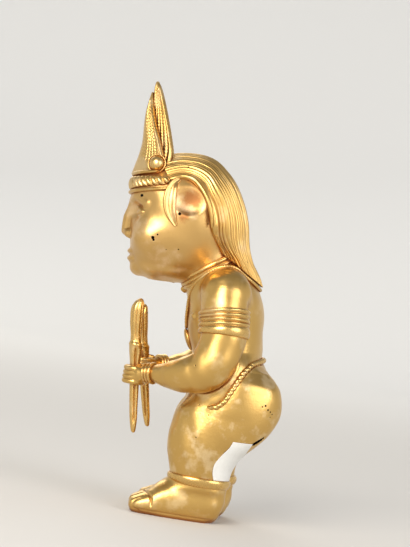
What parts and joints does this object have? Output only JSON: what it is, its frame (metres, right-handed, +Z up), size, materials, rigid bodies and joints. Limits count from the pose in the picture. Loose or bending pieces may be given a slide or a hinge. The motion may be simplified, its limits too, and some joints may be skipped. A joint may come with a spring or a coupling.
{
  "type": "cast figurine",
  "caption": "Standing hollow-cast gold-copper figurine with a pointed headdress, long hair down the back, a necklace and banded limbs, gripping upright staves, on flat soles.",
  "frame": {"origin": "centre of the bounding box's underside, on the level that the soles stand on", "axes": "+Z up, from the soles to the tip of the headdress; -Y the way the figure faces; +X its left side"},
  "size_m": [0.0492, 0.0546, 0.1243],
  "materials": {
    "cast_alloy": "satin burnished gold-copper alloy with a slightly rough cast skin in the hollows",
    "polished_relief": "brighter burnished relief of the same gold-copper alloy",
    "core_clay": "matt, coarse clay and charcoal casting core",
    "label_paper": "matt white paper with a smooth face"
  },
  "bodies": {
    "root": {"anklet_left": "polished_relief", "anklet_right": "polished_relief", "arm_left": "cast_alloy", "arm_right": "cast_alloy", "armband_left": "polished_relief", "armband_right": "polished_relief", "belt_cord": "polished_relief", "bracelet_left": "polished_relief", "bracelet_right": "polished_relief", "collar": "polished_relief", "ear_left": "cast_alloy", "ear_right": "cast_alloy", "foot_left": "cast_alloy", "foot_right": "cast_alloy", "hair_mantle": "cast_alloy", "hand_left": "cast_alloy", "hand_right": "cast_alloy", "head_core": "core_clay", "head_shell": "cast_alloy", "headband_braid": "polished_relief", "headband_cord": "cast_alloy", "headdress_boss_left": "polished_relief", "headdress_boss_right": "polished_relief", "headdress_front_leaf": "polished_relief", "headdress_hem": "cast_alloy", "headdress_rear_leaf": "cast_alloy", "hips_core": "core_clay", "label_sticker": "label_paper", "leg_left": "cast_alloy", "leg_right": "cast_alloy", "necklace_cord": "polished_relief", "pendant": "cast_alloy", "staff_left": "polished_relief", "staff_right": "polished_relief", "throat_knot": "cast_alloy", "torso_core": "core_clay", "torso_shell": "cast_alloy"}
  },
  "joints": []
}
